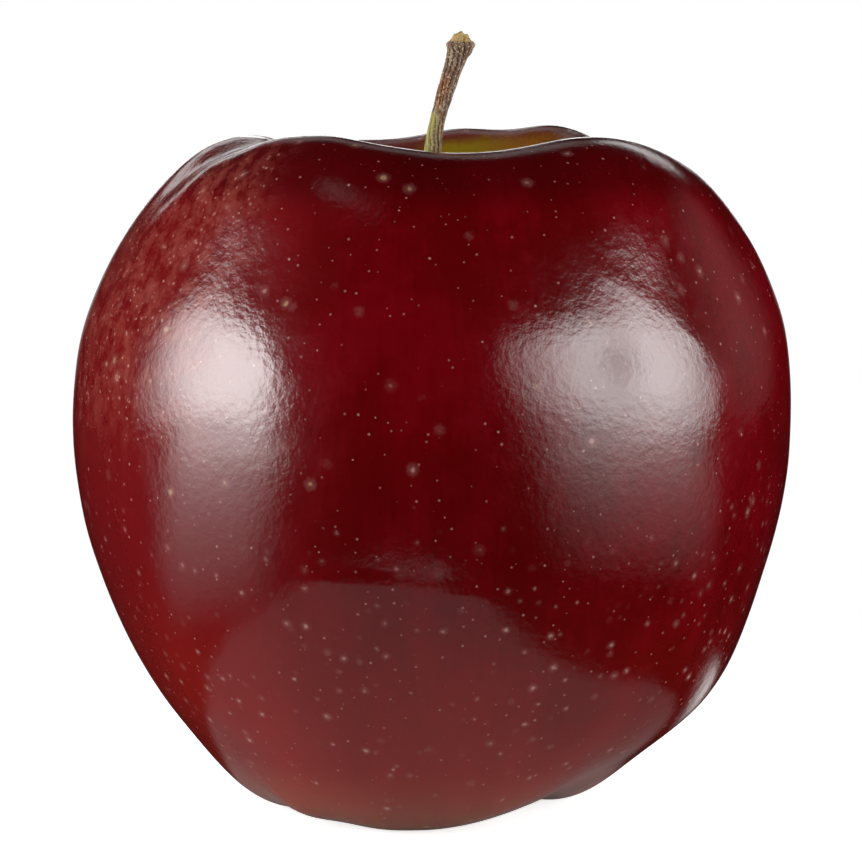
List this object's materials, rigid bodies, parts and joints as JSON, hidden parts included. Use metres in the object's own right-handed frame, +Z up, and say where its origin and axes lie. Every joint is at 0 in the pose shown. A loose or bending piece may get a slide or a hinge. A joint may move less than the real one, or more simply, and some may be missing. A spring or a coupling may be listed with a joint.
{
  "type": "red apple",
  "caption": "Whole ripe red apple with lobed shoulders, a leaning woody stem in the cavity and a dried calyx in the basin underneath; stands on its lowest lobes.",
  "frame": {"origin": "on the surface that the apple stands on, under the middle of its bounding box", "axes": "+Z up along the core towards the stem, +X to the right and -Y towards someone who looks at its best side"},
  "size_m": [0.0801, 0.0798, 0.087],
  "materials": {
    "skin": "waxy gloss, dark crimson",
    "bark": "dry, rough bark",
    "dried_sepal": "dry, matt, woolly"
  },
  "bodies": {
    "root": {"fruit": "skin", "stem": "bark", "calyx": "dried_sepal"}
  },
  "joints": []
}
